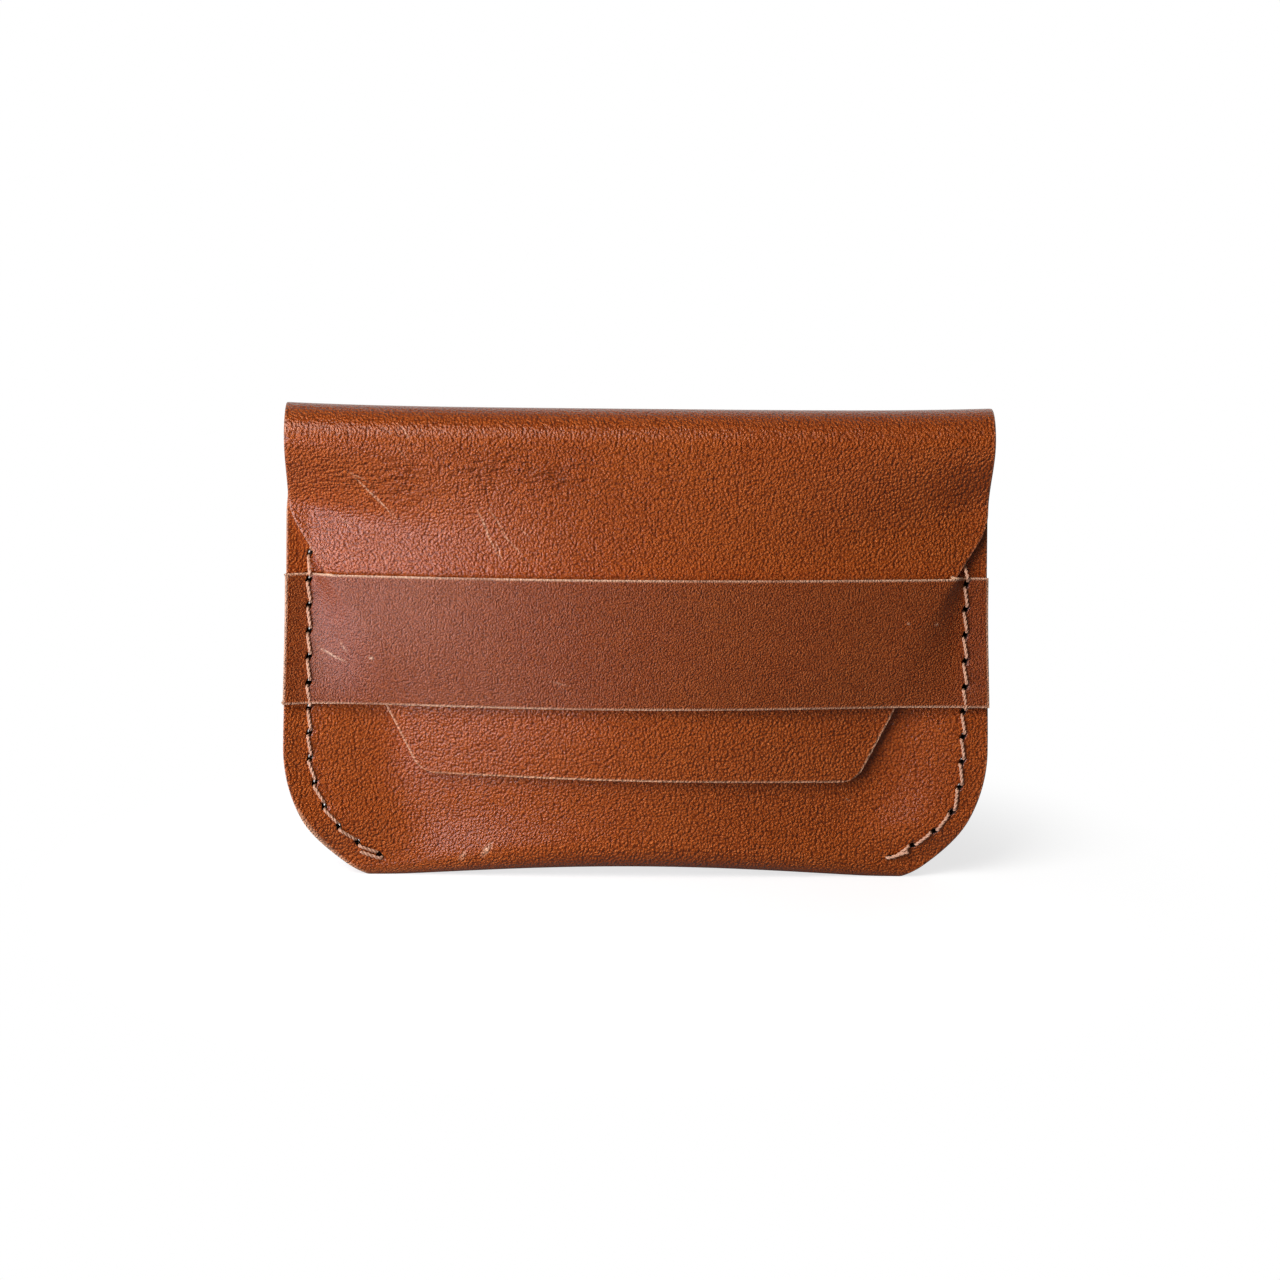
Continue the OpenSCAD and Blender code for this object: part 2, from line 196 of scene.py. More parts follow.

    # Wear takes the dye off the last 0.4 mm beside a cut edge, and this pale rim is also a painted highlight
    # where the edges catch the light
    edge = add(tree, "ShaderNodeUVMap", uv_map="edge").outputs["UV"]
    edge = add(tree, "ShaderNodeSeparateXYZ", {"Vector": edge})
    beside = add(tree, "ShaderNodeMapRange", {"Value": edge.outputs["X"], "From Max": 0.42, "To Min": 1,
                                              "To Max": 0})
    rubbed = add(tree, "ShaderNodeMapRange", {"Value": patch.outputs["Fac"], "From Min": 0.3, "From Max": 0.6,
                                              "To Min": 0.5, "To Max": 1})
    worn_and_lit_rim = add(tree, "ShaderNodeMath", {0: beside.outputs["Result"], 1: rubbed.outputs["Result"]},
               operation="MULTIPLY").outputs["Value"]
    worn_and_lit_rim = add(tree, "ShaderNodeMath", {0: worn_and_lit_rim, 1: edge.outputs["Y"]}, operation="MULTIPLY")
    tone = add(tree, "ShaderNodeMix", {"Factor": worn_and_lit_rim.outputs["Value"], "A": tone, "B": linear(tones[3])},
               data_type="RGBA").outputs["Result"]

    # The grain glints in the colour of its dye. The wax lies over it as a satin film that fills most of it
    film_share = 0.13
    relief = add(tree, "ShaderNodeBump", {"Height": height, "Strength": 1, "Distance": grain_mm * MM})
    film = add(tree, "ShaderNodeBump", {"Height": height, "Strength": 1,
                                        "Distance": film_share * grain_mm * MM})
    tree.links.new(tone, shader.inputs["Base Color"])
    tree.links.new(relief.outputs["Normal"], shader.inputs["Normal"])
    tree.links.new(film.outputs["Normal"], shader.inputs["Coat Normal"])
    shader.inputs["Roughness"].default_value = 0.36
    shader.inputs["Specular IOR Level"].default_value = 0.9
    shader.inputs["Specular Tint"].default_value = linear("#ffa860")
    shader.inputs["Coat Weight"].default_value = 0.62
    shader.inputs["Coat Roughness"].default_value = wax_roughness
    shader.inputs["Coat IOR"].default_value = 1.45
    return material


strip_marks = [
    (-40.9, flap_run(60.1), 10.5, 0.26, 48, 0.8), (-39.2, flap_run(58.4), 7.0, 0.18, 54, 0.5),
    (-42.6, flap_run(62.8), 4.5, 0.20, 30, 0.5), (-37.2, flap_run(56.2), 5.0, 0.16, 62, 0.4),
    (-23.3, flap_run(54.7), 10.5, 0.26, 67, 0.8), (-21.6, flap_run(56.0), 7.5, 0.20, 58, 0.6),
    (-19.6, flap_run(52.8), 6.5, 0.24, 48, 0.6), (-21.4, flap_run(51.4), 4.5, 0.22, 74, 0.6),
    (-17.6, flap_run(54.6), 3.5, 0.18, 40, 0.4), (-35.5, flap_run(70.0), 4.0, 0.20, 50, 0.5),
    (-45.0, flap_run(55.0), 3.5, 0.18, 40, 0.4), (-36.0, flap_run(67.0), 4.0, 0.20, 55, 0.4),
    # The first two marks on the next line are painted highlights on two creases by the bottom fold; the
    # creases themselves are not modelled
    (-27.1, 61.4, 2.4, 0.70, -62, 0.6), (-23.2, 60.8, 3.4, 0.80, -55, 0.9), (-30.0, 45.0, 5.0, 0.20, 30, 0.3),
    (33.0, 51.0, 1.2, 0.25, 15, 0.7), (20.0, back_from + 30, 14.0, 0.30, 65, 0.7),
    (-28.0, back_from + 18, 9.0, 0.26, 30, 0.6)]
hide_leather = waxed_hide("waxed_full_grain_leather", ("#692303", "#963e07", "#a0470c", "#dcae8c"),
                          pebble_mm=0.46, grain_mm=0.38, wax_roughness=0.22, seed=0,
                          breaks=[(-28, flap_run(63.6), 48, 6), (0, back_from + 4, 70, 6)],
                          marks=strip_marks)

# The flesh side is brushed suede, paler than the grain, with short nap and no shine. The nap stands in
# tufts, about two to a millimetre.
tufts_per_mm = 2.2
flesh_suede, tree, shader = new_material("flesh_side_suede")
pattern = add(tree, "ShaderNodeUVMap", uv_map="pattern").outputs["UV"]
nap = add(tree, "ShaderNodeTexNoise", {"Vector": pattern, "Scale": tufts_per_mm, "Detail": 5,
                                       "Roughness": 0.7})
patches = add(tree, "ShaderNodeTexNoise", {"Vector": pattern, "Scale": 1 / 9, "Detail": 3})
tone = add(tree, "ShaderNodeMix", {"Factor": patches.outputs["Fac"], "A": linear("#8a5533"),
                                   "B": linear("#ad774d")}, data_type="RGBA")
fluff = add(tree, "ShaderNodeBump", {"Height": nap.outputs["Fac"], "Strength": 0.6, "Distance": 0.25 * MM})
tree.links.new(tone.outputs["Result"], shader.inputs["Base Color"])
tree.links.new(fluff.outputs["Normal"], shader.inputs["Normal"])
shader.inputs["Roughness"].default_value = 0.95
shader.inputs["Sheen Weight"].default_value = 0.3

# A raw cut edge shows the pale fibres of the hide's middle, which little dye has reached. They are
# drawn coarser than they are, so that they show.
fibre_mm = 0.35
raw_edge, tree, shader = new_material("raw_cut_leather_edge")
spot = add(tree, "ShaderNodeTexCoord").outputs["Object"]
fibres = add(tree, "ShaderNodeTexNoise", {"Vector": spot, "Scale": 1 / (fibre_mm * MM), "Detail": 4,
                                          "Roughness": 0.7})
tone = add(tree, "ShaderNodeMix", {"Factor": fibres.outputs["Fac"], "A": linear("#a86c44"),
                                   "B": linear("#f3cfae")}, data_type="RGBA")
fray = add(tree, "ShaderNodeBump", {"Height": fibres.outputs["Fac"], "Strength": 0.7, "Distance": 0.2 * MM})
tree.links.new(tone.outputs["Result"], shader.inputs["Base Color"])
tree.links.new(fray.outputs["Normal"], shader.inputs["Normal"])
shader.inputs["Roughness"].default_value = 0.85

# The body is the strip from the mouth down the front, round the bottom fold and up the back. Its two
# layers are cemented and sewn along the sides, so the hide stands out between the seams.
half_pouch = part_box("body")[1].x / MM
side_draw = 0.8
half_top = half_pouch - side_draw
fold_inset = 13
fold_w = 2 * (half_pouch - fold_inset)
corner_r = 23
corner_x = half_pouch - corner_r
corner_z = math.sqrt(corner_r ** 2 - (fold_w / 2 - corner_x) ** 2)
front_crown = 4.4
back_crown = 2.8
back_straight_h = 40
fold_front = 4.4
fold_back = 2.8
fold_blend = 8
stitch_inset = 3.9
sew_x = half_pouch - stitch_inset
sew_r = corner_r - stitch_inset
# The filled front stands out a little more from this height, over this rise
fill = 0.8
fill_h = 8
fill_rise = 16
# Powers of the panels' profile across, low down and higher up, and where one turns to the other
low_power = 2.2
high_power = 1.15
power_h = 18
power_rise = 22
# Forward curl of the left and the right margin, which dies out above this height
left_curl = 1.4
right_curl = 0.1
curl_power = 1.2
curl_turn = 20
curl_h = 57
curl_rise = 9
# Forward dish of the sewn sides, which dies out behind the band: its depth, how far inside the seam it
# starts, and its width
dish = 2.8
dish_inset = 15
dish_w = 16
dish_h = 22
dish_rise = 22
# Rounding of the grain at a cut edge: depth and width
arris = 0.07
arris_w = 0.3


def mix(a, b, t):
    return a + (b - a) * t


def ease(t):
    u = min(1.0, max(0.0, t))
    return u * u * (3 - 2 * u)


def dome(u):
    return (1 - min(1.0, u * u)) ** 1.5


def arc_x(r, z):
    return corner_x + math.sqrt(max(0, r * r - (corner_z - z) ** 2))


def half_w(z):
    if z < corner_z:
        return arc_x(corner_r, z)
    return mix(half_pouch, half_top, (z - corner_z) / (roll_z - corner_z))


def sew_w(z):
    return sew_x if z >= corner_z else arc_x(sew_r, z)


def fold_out(x, crown):
    return mix(fold_end_gap, crown, dome(2 * x / fold_w))


def fold_gap(x):
    return (fold_out(x, fold_front) + fold_out(x, fold_back)) / 2


def fold_top(x):
    return (math.pi / 2 - 1) * (fold_gap(x) - fold_end_gap) + fold_gap(x) + hide


def panel_out(x, z, crown):
    """The filled panel stands out broadly under the band, and falls off sooner below it."""
    u = min(1.0, abs(x) / max(1, sew_w(z)))
    return cement / 2 + crown * (1 - u * u) ** mix(low_power, high_power, ease((z - power_h) / power_rise))


def edge_curl(x, z):
    """The sewn sides curl forward: the margin everywhere, and a broader strip below the band."""
    beyond = max(0, abs(x) - sew_w(z)) / (half_w(z) - sew_w(z))
    margin = mix(left_curl, right_curl, ease(x / curl_turn + 0.5)) * beyond ** curl_power
    dished = dish * ease((abs(x) - sew_w(z) + dish_inset) / dish_w)
    return margin * (1 - ease((z - curl_h) / curl_rise)) + dished * (1 - ease((z - dish_h) / dish_rise))


def front_out(x, z):
    blended = ease((z - fold_top(x)) / fold_blend)
    filled = front_crown + fill * ease((z - fill_h) / fill_rise)
    return mix(fold_out(x, fold_front), panel_out(x, z, filled) + edge_curl(x, z), blended)


def back_out(x, z):
    blended = ease((z - fold_top(x)) / fold_blend)
    fade = 1 - ease((z - back_straight_h) / (roll_z - back_straight_h))
    return mix(fold_out(x, fold_back), panel_out(x, z, back_crown * fade) - edge_curl(x, z), blended)


def worn_edge(gap):
    """How far the grain is rounded over at a distance from a cut edge."""
    return arris * max(0, 1 - gap / arris_w) ** 2


def stations(start, stop, pitch, fine_start=False, fine_stop=False):
    """Places from start to stop, about pitch apart, with closer ones where an edge is cut."""
    way = 1 if stop > start else -1
    close = [0.1, 0.3]
    head = [start] + ([start + way * gap for gap in close] if fine_start else [])
    tail = ([stop - way * gap for gap in reversed(close)] if fine_stop else []) + [stop]
    count = max(1, round(abs(tail[0] - head[-1]) / pitch))
    return head + [mix(head[-1], tail[0], i / count) for i in range(1, count)] + tail


def across(half):
    """Shares of a half width, from the right edge to the left, closer together along the sewn edges."""
    close, margin, fine, coarse = [0, 0.1, 0.3, 0.7], 9, 0.45, 1.3
    right = [half - gap for gap in close[:-1]]
    right += stations(half - close[-1], half - margin, fine)
    right += stations(half - margin, 0, coarse)[1:]
    return [x / half for x in right] + [-x / half for x in reversed(right[:-1])]


def sheet(name, rows, shares, place):
    """A sheet of hide, grain side out: place() gives a point, its spot on the flat strip, and its gap
    from the nearest cut edge with how pale that edge's rim is drawn, as wear and painted highlight."""
    grid = bmesh.new()
    bmesh.ops.create_grid(grid, x_segments=len(shares) - 1, y_segments=len(rows) - 1, size=0.5)
    pattern = grid.loops.layers.uv.new("pattern")
    edge = grid.loops.layers.uv.new("edge")
    flat, gaps = {}, {}
    for vert in grid.verts:
        share = shares[round((vert.co.x + 0.5) * (len(shares) - 1))]
        row = rows[round((vert.co.y + 0.5) * (len(rows) - 1))]
        vert.co, flat[vert], gaps[vert] = place(row, share)
    for face in grid.faces:
        face.smooth = True
        for loop in face.loops:
            loop[pattern].uv = flat[loop.vert]
            loop[edge].uv = gaps[loop.vert]
    mesh = bpy.data.meshes.new(name)
    grid.to_mesh(mesh)
    grid.free()
    piece = bpy.data.objects.new(name, mesh)
    bpy.context.collection.objects.link(piece)
    return piece


def thicken(piece, grain):
    for material in (grain, flesh_suede, raw_edge):
        piece.data.materials.append(material)
    wall = piece.modifiers.new("hide", "SOLIDIFY")
    wall.thickness = hide * MM
    wall.offset = -1
    wall.use_even_offset = True
    wall.material_offset = 1
    wall.material_offset_rim = 2


wave = 0.14
wave_x = 17
wave_run = 13
wave_layer = 4
wave_fade = 8
seam_hold = 6
sag = 0.55


def slack(x, run):
    """Gentle waves in the hide, by its place on the flat strip. They die out where it bends."""
    from_bend = min(abs(run - bend) for bend in (fold_from, back_from, roll_from, flap_from))
    return wave * noise.noise(Vector((x / wave_x, run / wave_run, wave_layer))) * ease(from_bend / wave_fade)


def crest_sag(x):
    """How far the rolled edge sags between its two ends."""
    return sag * (1 - (x / half_top) ** 4)


panel_pitch = 0.8
fold_pitch = 0.5
body_rows = stations(0, front_run, panel_pitch, fine_start=True)
body_rows += stations(front_run, back_from, fold_pitch)[1:] + stations(back_from, roll_from, panel_pitch)[1:]
# The cut edge is rubbed pale at the lower left corner, left of rub_x and below rub_h, and less elsewhere,
# where its pale rim is also a painted highlight
rub_x = -30
rub_w = 8
rub_h = 14
rub_drop = 6
rub_spread = 1.5
edge_wear_and_highlight = 0.2


def body_place(run, share):
    if run <= fold_from:
        edge_z = mouth_h - run
        x = share * half_w(edge_z)
        gap = min(half_w(edge_z) - abs(x), run)
        z = mix(fold_top(x), mouth_h, (edge_z - foot_h) / front_run)
        y = -front_out(x, z) - hide + worn_edge(gap) - min(1, gap / seam_hold) * slack(x, run)
    elif run <= back_from:
        turn = math.pi * (0.5 - (run - fold_from) / fold_run)
        w = half_w(foot_h * (1 - math.cos(turn)))
        x = share * w
        gap = w - abs(x)
        r = fold_gap(x) + hide - worn_edge(gap)
        y = (fold_out(x, fold_back) - fold_out(x, fold_front)) / 2 - r * math.sin(turn)
        z = fold_top(x) - r * math.cos(turn)
    else:
        edge_z = foot_h + run - back_from
        x = share * half_w(edge_z)
        gap = half_w(edge_z) - abs(x)
        z = mix(fold_top(x), roll_z, (edge_z - foot_h) / back_run)
        y = back_out(x, z) + hide - worn_edge(gap) + min(1, gap / seam_hold) * slack(x, run)
        z -= crest_sag(x) * ease((edge_z - back_straight_h) / (roll_z - back_straight_h))
    rubbed = ease((rub_x - x) / rub_w) * ease((rub_h - z) / rub_drop)
    return stand(x, y, z), (x, run), (gap / (1 + rub_spread * rubbed), mix(edge_wear_and_highlight, 1, rubbed))


body = sheet("body_hide", body_rows, across(half_pouch), body_place)
thicken(body, hide_leather)

# Stitch holes are slanted slits, pricked by hand through both layers, and through the band where it is
# sewn in. Their walls are painted near-black brown, as painted shade for the dark inside of the deep holes.
slit_wall_painted_shade, tree, shader = new_material("slit_wall_painted_shade")
shader.inputs["Base Color"].default_value = linear("#2a1208")
shader.inputs["Roughness"].default_value = 0.9
stitch_pitch = 3.95
seam_gap = 4.25
seam_end = 3.3
slit_l = 1.8
slit_w = 0.8
slit_slant = math.radians(24)
# On the right the awl strayed outwards at one hole, and less at its neighbours
stray = 0.9
stray_hole = 12
stray_reach = 2
cut_depth = 8 * hide
seam_top = mouth_h - seam_gap
sew_straight = seam_top - corner_z
sew_arc = math.asin((corner_z - seam_end) / sew_r) * sew_r
holes = math.floor((sew_straight + sew_arc) / stitch_pitch) + 1


def on_arc(k):
    return max(0, k * stitch_pitch - sew_straight) / sew_r


def hole(k, hand):
    a = on_arc(k)
    if a > 0:
        r = sew_r + (stray * max(0, 1 - abs(k - stray_hole) / stray_reach) if hand > 0 else 0)
        return Vector((hand * (corner_x + r * math.cos(a)), corner_z - r * math.sin(a)))
    return Vector((hand * sew_x, seam_top - k * stitch_pitch))


def slit_angle(k, hand):
    return math.pi / 2 - slit_slant - hand * on_arc(k)


def slit_dir(k, hand):
    return Vector((math.cos(slit_angle(k, hand)), math.sin(slit_angle(k, hand))))


def strike_holes(piece):
    """Cuts the slits through a piece, after its wall has its thickness."""
    cutter = bmesh.new()
    for hand in (-1, 1):
        for k in range(holes):
            spot = hole(k, hand)
            place = Matrix.Translation(stand(spot.x, 0, spot.y)) @ leaned.to_4x4() @ Matrix.Scale(MM, 4)
            place = place @ Matrix.Rotation(math.pi / 2, 4, "X")
            place = place @ Matrix.Rotation(slit_angle(k, hand) - math.pi / 2, 4, "Z")
            place = place @ Matrix.Diagonal((slit_w / math.sin(math.pi / 3), slit_l, 1, 1))
            bmesh.ops.create_cone(cutter, cap_ends=True, segments=6, radius1=0.5, radius2=0.5,
                                  depth=cut_depth, matrix=place)
    bmesh.ops.recalc_face_normals(cutter, faces=cutter.faces)
    mesh = bpy.data.meshes.new("slits")
    cutter.to_mesh(mesh)
    cutter.free()
    mesh.materials.append(slit_wall_painted_shade)
    slits = bpy.data.objects.new("slits", mesh)
    bpy.context.collection.objects.link(slits)
    cut = piece.modifiers.new("slits", "BOOLEAN")
    cut.object = slits
    cut.operation = "DIFFERENCE"
    cut.solver = "MANIFOLD"
    cut.material_mode = "TRANSFER"
    graph = bpy.context.evaluated_depsgraph_get()
    finished = bpy.data.meshes.new_from_object(piece.evaluated_get(graph), preserve_all_data_layers=True,
                                               depsgraph=graph)
    piece.modifiers.clear()
    piece.data = finished
    bpy.data.objects.remove(slits)


strike_holes(body)
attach(body, "pouch")
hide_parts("body")

# The rolled top edge carries on from the back panel in one piece of hide. It is drawn as three strips:
# the rear of the roll, its crest, and the top of the flap.
roll_pitch = 0.1
# How pale the roll's cut edges are drawn, as wear and as painted highlight
roll_wear_and_highlight = 0.25


def roll_place(run, share):
    turn = (run - roll_from) / roll_r
    x = share * half_top
    gap = half_top - abs(x)
    reach = roll_out - worn_edge(gap)
    y = roll_y + reach * math.cos(turn)
    z = roll_z + reach * math.sin(turn) - crest_sag(x)
    return stand(x, y, z), (x, run), (gap, roll_wear_and_highlight)


def roll_run(degrees):
    return roll_from + math.radians(degrees) * roll_r


roll_shares = across(half_top)
rear_roll = sheet("roll_rear", stations(roll_run(0), roll_run(60), roll_pitch), roll_shares, roll_place)
thicken(rear_roll, hide_leather)
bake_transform(rear_roll)
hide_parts("fold_strip_rear")

crest_roll = sheet("roll_crest", stations(roll_run(60), roll_run(120), roll_pitch), roll_shares, roll_place)
thicken(crest_roll, hide_leather)
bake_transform(crest_roll)
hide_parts("fold_strip_front")

# The flap comes down from the roll, tapers from two rounded shoulders and ends in a broad tongue, which
# lies on the front panel and under the band. It was cut a little askew, so its right side hangs lower.
play = 0.3
band_h = 27.9
band_w = 20
band_top = band_h + band_w
tongue_h = 16.5
tongue_r = 4.3
# Heights and half widths of the flap's edge: end of the tongue, below the band, above it, shoulder
flap_edge = [(tongue_h, 33.8), (27, 39.1), (47, 48), (56.4, half_top), (roll_z, half_top)]
shoulder_round = 1.5
shoulder_from = 50
askew = 0.0187
askew_h = 56
# The tongue stands a little to the right of the middle
tongue_shift = 0.25
shift_h = 48
shift_drop = 28
# The flap keeps less play towards its sides, follows their curl only below uncurl_h, and stands out a
# little more at its sides from the band's top edge up
side_hold = 0.7
uncurl_h = 40
uncurl_rise = 8
spring = 0.25
spring_x = 36
spring_w = 14
spring_drop = 2
spring_rise = 5
# How far up from the band its sides are held down, as a share of the way to the roll
held_share = 0.5
held_power = 1.5
# Below this height the tongue's cut edges are drawn fully pale, as wear and as painted highlight
tongue_pale_rim_h = 34
tongue_pale_rim_drop = 10
tongue_slope = math.atan((flap_edge[1][1] - flap_edge[0][1]) / (flap_edge[1][0] - flap_edge[0][0]))
tongue_t = tongue_r * math.tan((math.pi / 2 - tongue_slope) / 2)


def flap_w(z):
    """Half width of the flap at a height, before it is turned askew."""
    for (low, narrow), (high, wide) in zip(flap_edge, flap_edge[1:]):
        if z <= high:
            break
    w = mix(narrow, wide, (z - low) / (high - low))
    if z > shoulder_from:
        straight = flap_edge[2][1] + (z - flap_edge[2][0]) * (half_top - flap_edge[2][1]) / (
            flap_edge[3][0] - flap_edge[2][0])
        near = max(0, shoulder_round - abs(straight - half_top)) / shoulder_round
        w -= near * near * shoulder_round / 4
    if z < tongue_h + tongue_t * math.cos(tongue_slope):
        drop = tongue_h + tongue_r - z
        w = flap_edge[0][1] - tongue_t + math.sqrt(max(0, tongue_r ** 2 - drop ** 2))
    return w


def flap_out(x, z):
    u = min(1, abs(x) / half_top)
    tucked = front_out(x, z) - edge_curl(x, z) * ease((z - uncurl_h) / uncurl_rise)
    tucked += 2 * hide + play * (1 - side_hold * u * u)
    tucked += spring * ease((abs(x) - spring_x) / spring_w) * ease((z - band_top + spring_drop) / spring_rise)
    held = held_share * u ** held_power
    rise = (z - band_top) / (roll_z - band_top)
    return mix(tucked, roll_out - roll_y, ease((rise - held) / (1 - held)))


tongue_end = flap_run(tongue_h)
tongue_bend = tongue_end - tongue_r
flap_pitch = 0.5
tongue_pitch = 0.2
flap_rows = stations(roll_run(120), flap_from, roll_pitch) + stations(flap_from, tongue_bend, flap_pitch)[1:]
flap_rows += stations(tongue_bend, tongue_end, tongue_pitch, fine_stop=True)[1:]


def flap_place(run, share):
    if run <= flap_from:
        return roll_place(run, share)
    z = roll_z - (run - flap_from)
    w = flap_w(z)
    x = share * w
    gap = min(w - abs(x), z - tongue_h)
    upper = ease((z - band_top) / (roll_z - band_top))
    hang = z - askew * x * ease((roll_z - z) / (roll_z - askew_h)) - crest_sag(x) * upper
    x += tongue_shift * ease((shift_h - z) / shift_drop)
    y = -flap_out(x, hang) + worn_edge(gap) + slack(x, run) * upper
    rubbed = mix(edge_wear_and_highlight, 1, ease((tongue_pale_rim_h - z) / tongue_pale_rim_drop))
    return stand(x, y, hang), (x, run), (gap, rubbed)


flap = sheet("flap_and_tongue", flap_rows, roll_shares, flap_place)
thicken(flap, hide_leather)
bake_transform(flap)
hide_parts("flap", "flap_tongue")

# The band is a separate straight strip, cut from a smoother part of the hide. It is sewn into both side
# seams and comes down to them from the hidden edges of the flap, to leave room for the tongue.
crease = sew_x + 0.1
crease_w = 0.8
crease_run = 2.4
crease_pitch = 0.15
ramp_share = 1.5
flap_clear = 0.35
band_pitch = 0.6
band_marks = [
    (-46.9, 12.5, 6.0, 0.35, 25, 0.8), (-45.2, 11.2, 3.0, 0.30, 60, 0.5), (-40.9, 12.7, 1.1, 0.45, 10, 0.9),
    (41.4, 6.9, 0.7, 0.35, 40, 0.8), (45.9, 7.0, 0.8, 0.35, 10, 0.8), (-12.0, 16.0, 4.0, 0.25, 15, 0.3)]
band_leather = waxed_hide("waxed_smooth_leather", ("#5e1e03", "#883609", "#8f3f0d", "#dcb294"),
                          pebble_mm=0.32, grain_mm=0.32, wax_roughness=0.34, seed=60, breaks=[],
                          marks=band_marks)


def band_out(x, z):
    """The band rises from the crease beside each seam to the top of the flap's hidden edge."""
    lowered = math.copysign(askew * flap_edge[2][1], x)
    flap_x = min(crease - crease_w, flap_w(z + lowered) + flap_clear)
    rise = ease((crease - abs(x)) / (ramp_share * (crease - flap_x)))
    return front_out(x, z) + 2 * hide + mix(cement, hide + 2 * play, rise)


def band_place(run, share):
    z = band_top - run
    w = half_w(z)
    x = share * w
    gap = min(w - abs(x), run, band_w - run)
    # The band's cut edges are drawn fully pale, as wear and as painted highlight along them
    return stand(x, -band_out(x, z) + worn_edge(gap), z), (x, run), (gap, 1)


crease_shares = [x / half_pouch for x in stations(sew_x, sew_x - crease_run, crease_pitch)]
band_shares = sorted(set(across(half_pouch)) | set(crease_shares) | {-s for s in crease_shares}, reverse=True)
band_rows = stations(0, band_w, band_pitch, fine_start=True, fine_stop=True)
band = sheet("band", band_rows, band_shares, band_place)
thicken(band, band_leather)
strike_holes(band)
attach(band, "pouch")
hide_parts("band")

# Each side seam is saddle sewn with one waxed linen thread, whose two ends pass each other in every
# hole. The thread is two yarns laid together, and the last stitch is sewn over once more.
thread_d = 0.58
stitch_lift = 0.02
yarn_r = 0.29 * thread_d
lay_length = 1.5
pass_offset = thread_d
bend_r = 0.5 * thread_d
thread_pitch = 0.16
knot_aside = 1.2 * thread_d
knot_start = 0.3
twist_mm = 0.5

waxed_thread, tree, shader = new_material("waxed_linen_thread")
spot = add(tree, "ShaderNodeTexCoord").outputs["Object"]
yarn = add(tree, "ShaderNodeTexNoise", {"Vector": spot, "Scale": 1 / (twist_mm * MM), "Detail": 3})
tone = add(tree, "ShaderNodeMix", {"Factor": yarn.outputs["Fac"], "A": linear("#96644a"),
                                   "B": linear("#d3a587")}, data_type="RGBA")
tree.links.new(tone.outputs["Result"], shader.inputs["Base Color"])
shader.inputs["Roughness"].default_value = 0.6


def in_band(z):
    return band_h < z < band_top


def thread_y(p, face):
    if face > 0:
        return back_out(p.x, p.y) + hide + thread_d / 2 + stitch_lift
    layers = hide + (cement + hide if in_band(p.y) else 0)
    return -front_out(p.x, p.y) - layers - thread_d / 2 - stitch_lift


def stitch(k, hand, face):
    """One stitch, on the front (face -1) or the back: out of a hole, along the hide, into the next."""
    near, far = hole(k, hand), hole(k + 1, hand)
    a = near + face * pass_offset * slit_dir(k, hand)
    b = far - face * pass_offset * slit_dir(k + 1, hand)
    u = (b - a).normalized()
    ya, yb = thread_y(near, face), thread_y(far, face)
    p, q, yp, yq = a + bend_r * u, b - bend_r * u, ya, yb
    if face < 0 and in_band(near.y) != in_band(far.y):
        edge = band_top + thread_d / 2 if max(a.y, b.y) > band_top else band_h - thread_d / 2
        over = a.lerp(b, (edge - a.y) / (b.y - a.y))
        p, q = (p, over) if in_band(near.y) else (over, q)
        yp = yq = min(ya, yb)
    return [Vector((a.x, ya - face * bend_r, a.y)), Vector((p.x, yp, p.y)),
            Vector((q.x, yq, q.y)), Vector((b.x, yb - face * bend_r, b.y))]


def thread_run(hand, first):
    return [p for k in range(holes - 1) for p in stitch(k, hand, -1 if (k + first) % 2 == 0 else 1)]


def back_stitch(hand):
    last = holes - 1
    a = hole(last, hand) - pass_offset * slit_dir(last, hand)
    b = hole(last - 1, hand) - pass_offset * slit_dir(last - 1, hand)
    u = (b - a).normalized()
    aside = knot_aside * Vector((hand * abs(u.y), -abs(u.x)))
    y, yb = thread_y(hole(last, hand), -1), thread_y(hole(last - 1, hand), -1)
    p, q = a + bend_r * u + knot_start * aside, b - 2 * bend_r * u + aside
    return [Vector((a.x, y + bend_r, a.y)), Vector((p.x, y, p.y)), Vector((q.x, yb, q.y))]


def thread_path(hand):
    ends_back = (holes - 2) % 2
    first = thread_run(hand, 0 if ends_back else 1) + back_stitch(hand)
    return list(reversed(first)) + thread_run(hand, 1 if ends_back else 0)


def laid_yarns(path, pitch):
    """Two yarns wound round a path, as lists of points."""
    points = [path[0]]
    for a, b in zip(path, path[1:]):
        count = max(1, round((b - a).length / pitch))
        points += [a.lerp(b, (i + 1) / count) for i in range(count)]
    for _ in range(2):
        eased = [(a + 2 * b + c) / 4 for a, b, c in zip(points, points[1:], points[2:])]
        points = points[:1] + eased + points[-1:]
    yarns, run = ([], []), 0
    side = Vector((1, 0, 0))
    for i, point in enumerate(points):
        ahead = (points[min(i + 1, len(points) - 1)] - points[max(i - 1, 0)]).normalized()
        side = (side - ahead * side.dot(ahead)).normalized()
        run += (point - points[max(i - 1, 0)]).length
        turn = 2 * math.pi * run / lay_length
        wind = side * math.cos(turn) + ahead.cross(side) * math.sin(turn)
        yarns[0].append(point + wind * (thread_d / 2 - yarn_r))
        yarns[1].append(point - wind * (thread_d / 2 - yarn_r))
    return yarns


